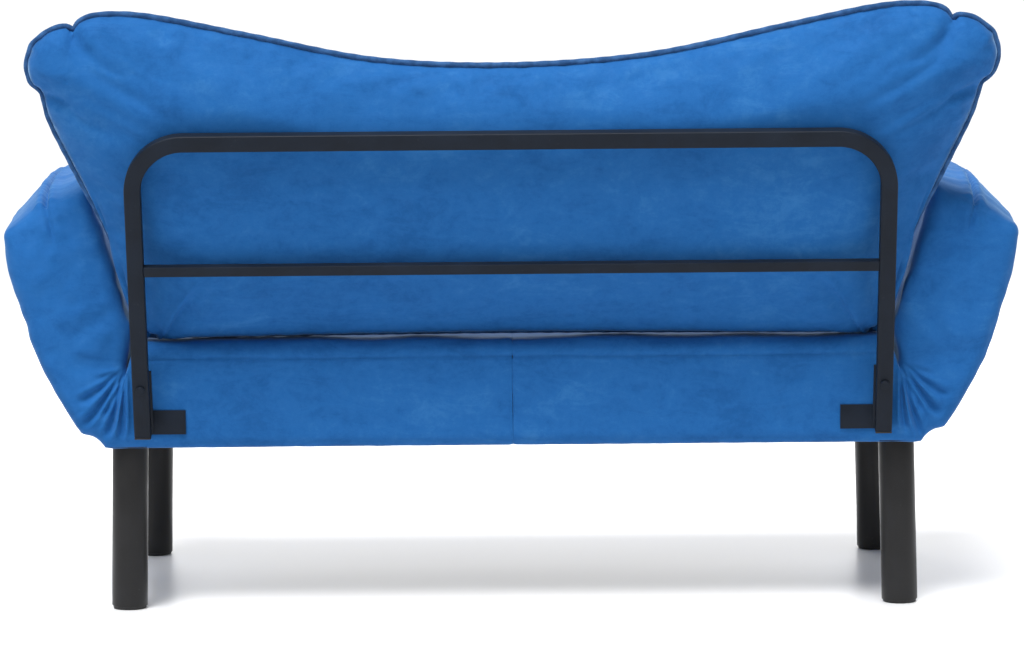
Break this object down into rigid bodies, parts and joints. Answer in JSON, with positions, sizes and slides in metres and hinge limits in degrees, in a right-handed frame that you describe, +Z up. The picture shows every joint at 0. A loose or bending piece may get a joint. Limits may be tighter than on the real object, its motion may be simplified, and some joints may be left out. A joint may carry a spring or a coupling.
{
  "type": "futon sofa bed",
  "caption": "Padded bench on round legs with arms that fold flat on ratchet hinges, a tubular back hoop and a loose winged back cushion.",
  "frame": {"origin": "on the floor, under the middle of the bounding box with the arms raised", "axes": "+Z up, the sitter faces -Y, +X to the sitter's left"},
  "size_m": [1.5508, 0.7366, 0.9245],
  "materials": {
    "blue_velvet": "napped microfibre velvet",
    "navy_piping": "corded piping in the velvet's darker shade",
    "foam": "open-cell foam, hidden",
    "lining": "non-woven dust cloth",
    "webbing": "woven webbing, hidden",
    "charcoal_paint": "matt powder coat",
    "leg_black": "satin powder coat",
    "frame_paint": "matt paint, hidden",
    "zinc_steel": "zinc plated",
    "steel": "plated fasteners",
    "black_plastic": "moulded"
  },
  "bodies": {
    "root": {"front_rail": "frame_paint", "rear_rail": "frame_paint", "left_end_rail": "frame_paint", "right_end_rail": "frame_paint", "left_cross_rail": "frame_paint", "right_cross_rail": "frame_paint", "seat_webbing": "webbing", "seat_foam": "foam", "seat_cover": "blue_velvet", "dust_cover": "lining", "leg_plates": "frame_paint", "leg_studs": "steel", "hinge_rivets": "steel", "pawl_pins": "steel", "back_frame_hoop": "charcoal_paint", "back_frame_crossbar": "charcoal_paint", "left_end_plug": "black_plastic", "right_end_plug": "black_plastic", "left_bracket": "charcoal_paint", "right_bracket": "charcoal_paint", "back_frame_bolts": "steel", "bracket_studs": "steel", "left_front_leg": "leg_black", "left_front_foot": "black_plastic", "left_front_seat_leaf": "zinc_steel", "left_rear_leg": "leg_black", "left_rear_foot": "black_plastic", "left_rear_seat_leaf": "zinc_steel", "right_front_leg": "leg_black", "right_front_foot": "black_plastic", "right_front_seat_leaf": "zinc_steel", "right_rear_leg": "leg_black", "right_rear_foot": "black_plastic", "right_rear_seat_leaf": "zinc_steel"},
    "left_arm": {"left_arm_front_tube": "frame_paint", "left_arm_rear_tube": "frame_paint", "left_arm_root_tube": "frame_paint", "left_arm_tip_tube": "frame_paint", "left_arm_foam": "foam", "left_arm_cover": "blue_velvet", "left_front_arm_leaf": "zinc_steel", "left_rear_arm_leaf": "zinc_steel"},
    "right_arm": {"right_arm_front_tube": "frame_paint", "right_arm_rear_tube": "frame_paint", "right_arm_root_tube": "frame_paint", "right_arm_tip_tube": "frame_paint", "right_arm_foam": "foam", "right_arm_cover": "blue_velvet", "right_front_arm_leaf": "zinc_steel", "right_rear_arm_leaf": "zinc_steel"},
    "back_cushion": {"back_cushion_core": "foam", "back_cushion_cover": "blue_velvet", "back_cushion_piping": "navy_piping"},
    "left_front_pawl": {"left_front_pawl": "zinc_steel"},
    "left_rear_pawl": {"left_rear_pawl": "zinc_steel"},
    "right_front_pawl": {"right_front_pawl": "zinc_steel"},
    "right_rear_pawl": {"right_rear_pawl": "zinc_steel"}
  },
  "joints": [
    {"name": "left_arm_fold", "type": "hinge", "parent": "root", "child": "left_arm", "pos_m": [0.649, 0, 0.308], "axis": [0, 1, 0], "range_deg": [0, 75]},
    {"name": "left_front_pawl_swing", "type": "hinge", "parent": "root", "child": "left_front_pawl", "pos_m": [0.61668, -0.35913, 0.32051], "axis": [0, 1, 0], "range_deg": [-8, 0]},
    {"name": "left_rear_pawl_swing", "type": "hinge", "parent": "root", "child": "left_rear_pawl", "pos_m": [0.61668, 0.20547, 0.32051], "axis": [0, 1, 0], "range_deg": [-8, 0]},
    {"name": "right_arm_fold", "type": "hinge", "parent": "root", "child": "right_arm", "pos_m": [-0.649, 0, 0.308], "axis": [0, -1, 0], "range_deg": [0, 75]},
    {"name": "right_front_pawl_swing", "type": "hinge", "parent": "root", "child": "right_front_pawl", "pos_m": [-0.61668, -0.35913, 0.32051], "axis": [0, -1, 0], "range_deg": [-8, 0]},
    {"name": "right_rear_pawl_swing", "type": "hinge", "parent": "root", "child": "right_rear_pawl", "pos_m": [-0.61668, 0.20547, 0.32051], "axis": [0, -1, 0], "range_deg": [-8, 0]},
    {"name": "back_cushion_lift", "type": "slide", "parent": "root", "child": "back_cushion", "axis": [0, 0.2672, 0.9636], "range_m": [0, 0.5]}
  ]
}
